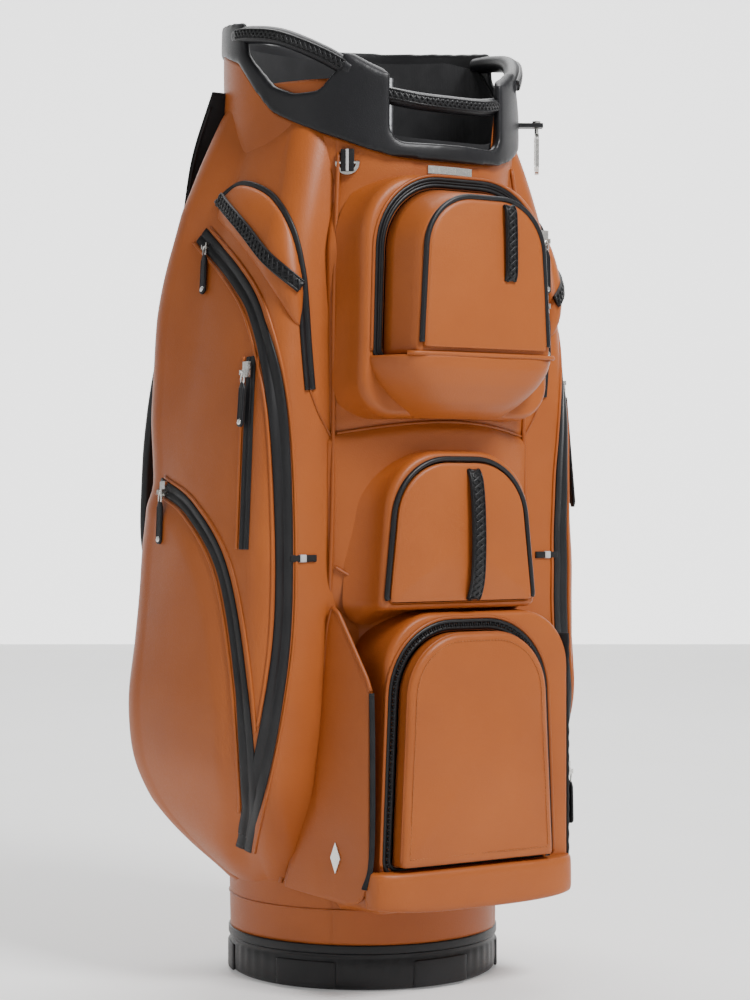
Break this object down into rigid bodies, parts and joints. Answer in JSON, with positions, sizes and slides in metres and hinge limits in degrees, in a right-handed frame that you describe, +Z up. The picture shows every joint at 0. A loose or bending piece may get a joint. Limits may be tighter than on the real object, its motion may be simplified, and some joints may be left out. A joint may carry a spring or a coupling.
{
  "type": "golf staff bag",
  "caption": "Upright golf cart bag with a moulded base, sculpted collar with grips, club dividers and zipped leather pockets.",
  "frame": {"origin": "centre of the base's underside, on the ground", "axes": "+Z up the bag, the front pockets face -Y, +X to the right seen from the front"},
  "size_m": [0.41, 0.395, 0.9024],
  "materials": {
    "tan_leather": "fine pebble grain, satin",
    "black_leather": "fine grain, satin",
    "black_plastic": "moulded, lightly textured",
    "black_rubber": "matt",
    "black_fabric": "woven",
    "nickel": "satin nickel",
    "stay_alloy": "plain drawn"
  },
  "bodies": {
    "bag": {"base_cup": "black_plastic", "base_foot_pads": "black_rubber", "base_rim_binding": "black_rubber", "floor_pad": "black_fabric", "support_stays": "stay_alloy", "front_panel": "tan_leather", "left_side_panel": "tan_leather", "right_side_panel": "tan_leather", "spine_panel": "tan_leather", "divider_ring": "black_plastic", "divider_walls": "black_fabric", "top_collar": "black_leather", "grip_cores": "black_plastic", "left_grip": "black_leather", "right_grip": "black_leather", "front_grip": "black_leather", "left_side_pocket": "tan_leather", "right_side_pocket": "tan_leather", "left_upper_pocket": "tan_leather", "right_upper_pocket": "tan_leather", "side_zip_tapes": "black_rubber", "ball_pocket_body": "tan_leather", "ball_pocket_zip_tape": "black_fabric", "ball_pocket_lip": "tan_leather", "ball_pocket_side_gusset": "black_fabric", "slip_pocket": "tan_leather", "rangefinder_pocket_body": "tan_leather", "rangefinder_piping": "black_leather", "top_pocket_body": "tan_leather", "top_pocket_zip_tape": "black_rubber", "side_pocket_braids": "black_leather", "zip_sliders": "nickel", "webbing_tabs": "black_fabric", "emblem": "nickel", "badge_plate": "nickel", "d_ring_tab": "black_fabric", "towel_loop": "black_leather", "shoulder_strap": "black_fabric", "shoulder_pad": "black_leather"},
    "ball_door": {"ball_pocket_door": "tan_leather"},
    "finder_door": {"rangefinder_door": "tan_leather", "rangefinder_braid": "black_leather"},
    "top_lid": {"top_pocket_lid": "tan_leather", "top_pouch_panel": "tan_leather", "top_pocket_braid": "black_leather"},
    "d_ring": {"d_ring": "nickel"},
    "towel_hook": {"towel_hook": "nickel"},
    "towel_gate": {"towel_hook_gate": "nickel"},
    "left_small_slider": {"left_small_slider": "nickel"},
    "ball_side_slider": {"ball_side_slider": "nickel"},
    "left_main_pull": {"left_main_pull": "black_leather"},
    "right_main_pull": {"right_main_pull": "black_leather"},
    "left_lower_pull": {"left_lower_pull": "black_leather"},
    "left_small_pull": {"left_small_pull": "black_leather"},
    "right_small_pull": {"right_small_pull": "black_leather"},
    "top_upper_pull": {"top_upper_pull": "black_leather"},
    "top_lower_pull": {"top_lower_pull": "black_leather"},
    "ball_front_pull": {"ball_front_pull": "black_leather"},
    "ball_side_pull": {"ball_side_pull": "black_leather"}
  },
  "joints": [
    {"name": "ball_door_hinge", "type": "hinge", "parent": "bag", "child": "ball_door", "pos_m": [0.008, -0.183, 0.1213], "axis": [1, 0, 0], "range_deg": [0, 90]},
    {"name": "rangefinder_door_hinge", "type": "hinge", "parent": "bag", "child": "finder_door", "pos_m": [0, -0.1686, 0.355], "axis": [1, 0, 0], "range_deg": [0, 35]},
    {"name": "top_lid_hinge", "type": "hinge", "parent": "bag", "child": "top_lid", "pos_m": [0, -0.203, 0.576], "axis": [1, 0, 0], "range_deg": [0, 40]},
    {"name": "d_ring_hinge", "type": "hinge", "parent": "bag", "child": "d_ring", "pos_m": [-0.0908, -0.11652, 0.7492], "axis": [-0.7604, 0.6494, 0], "range_deg": [0, 100]},
    {"name": "towel_hook_swivel", "type": "hinge", "parent": "bag", "child": "towel_hook", "pos_m": [0.13526, -0.09752, 0.806], "axis": [0, 0, 1], "range_deg": [-90, 90]},
    {"name": "towel_gate_hinge", "type": "hinge", "parent": "towel_hook", "child": "towel_gate", "pos_m": [0.13881, -0.09184, 0.768], "axis": [0.848, -0.5299, 0], "range_deg": [0, 22]},
    {"name": "left_small_slide", "type": "slide", "parent": "bag", "child": "left_small_slider", "axis": [-0.0624, -0.0302, -0.9976], "range_m": [0, 0.12]},
    {"name": "ball_side_slide", "type": "slide", "parent": "bag", "child": "ball_side_slider", "axis": [0, 0, 1], "range_m": [0, 0.07]},
    {"name": "left_main_pull_hinge", "type": "hinge", "parent": "bag", "child": "left_main_pull", "pos_m": [-0.16532, 0.01264, 0.68102], "axis": [-0.1171, 0.953, -0.2796], "range_deg": [0, 110]},
    {"name": "right_main_pull_hinge", "type": "hinge", "parent": "bag", "child": "right_main_pull", "pos_m": [0.16532, 0.01264, 0.68102], "axis": [-0.1171, -0.953, 0.2796], "range_deg": [0, 110]},
    {"name": "left_lower_pull_hinge", "type": "hinge", "parent": "bag", "child": "left_lower_pull", "pos_m": [-0.19557, 0.04328, 0.45356], "axis": [-0.0798, 0.9932, -0.0853], "range_deg": [0, 110]},
    {"name": "left_small_pull_hinge", "type": "hinge", "parent": "left_small_slider", "child": "left_small_pull", "pos_m": [-0.17869, -0.08196, 0.55954], "axis": [-0.0709, 0.9972, -0.0257], "range_deg": [0, 110]},
    {"name": "right_small_pull_hinge", "type": "hinge", "parent": "bag", "child": "right_small_pull", "pos_m": [0.17869, -0.08196, 0.55954], "axis": [-0.0709, -0.9972, 0.0257], "range_deg": [0, 110]},
    {"name": "top_upper_pull_hinge", "type": "hinge", "parent": "bag", "child": "top_upper_pull", "pos_m": [0.094, -0.167, 0.685], "axis": [-1, 0, 0], "range_deg": [0, 110]},
    {"name": "top_lower_pull_hinge", "type": "hinge", "parent": "bag", "child": "top_lower_pull", "pos_m": [0.094, -0.167, 0.625], "axis": [-1, 0, 0], "range_deg": [0, 110]},
    {"name": "ball_front_pull_hinge", "type": "hinge", "parent": "bag", "child": "ball_front_pull", "pos_m": [0.1288, -0.157, 0.193], "axis": [0, -1, 0], "range_deg": [0, 110]},
    {"name": "ball_side_pull_hinge", "type": "hinge", "parent": "ball_side_slider", "child": "ball_side_pull", "pos_m": [0.1288, -0.141, 0.211], "axis": [0, -1, 0], "range_deg": [0, 110]}
  ]
}
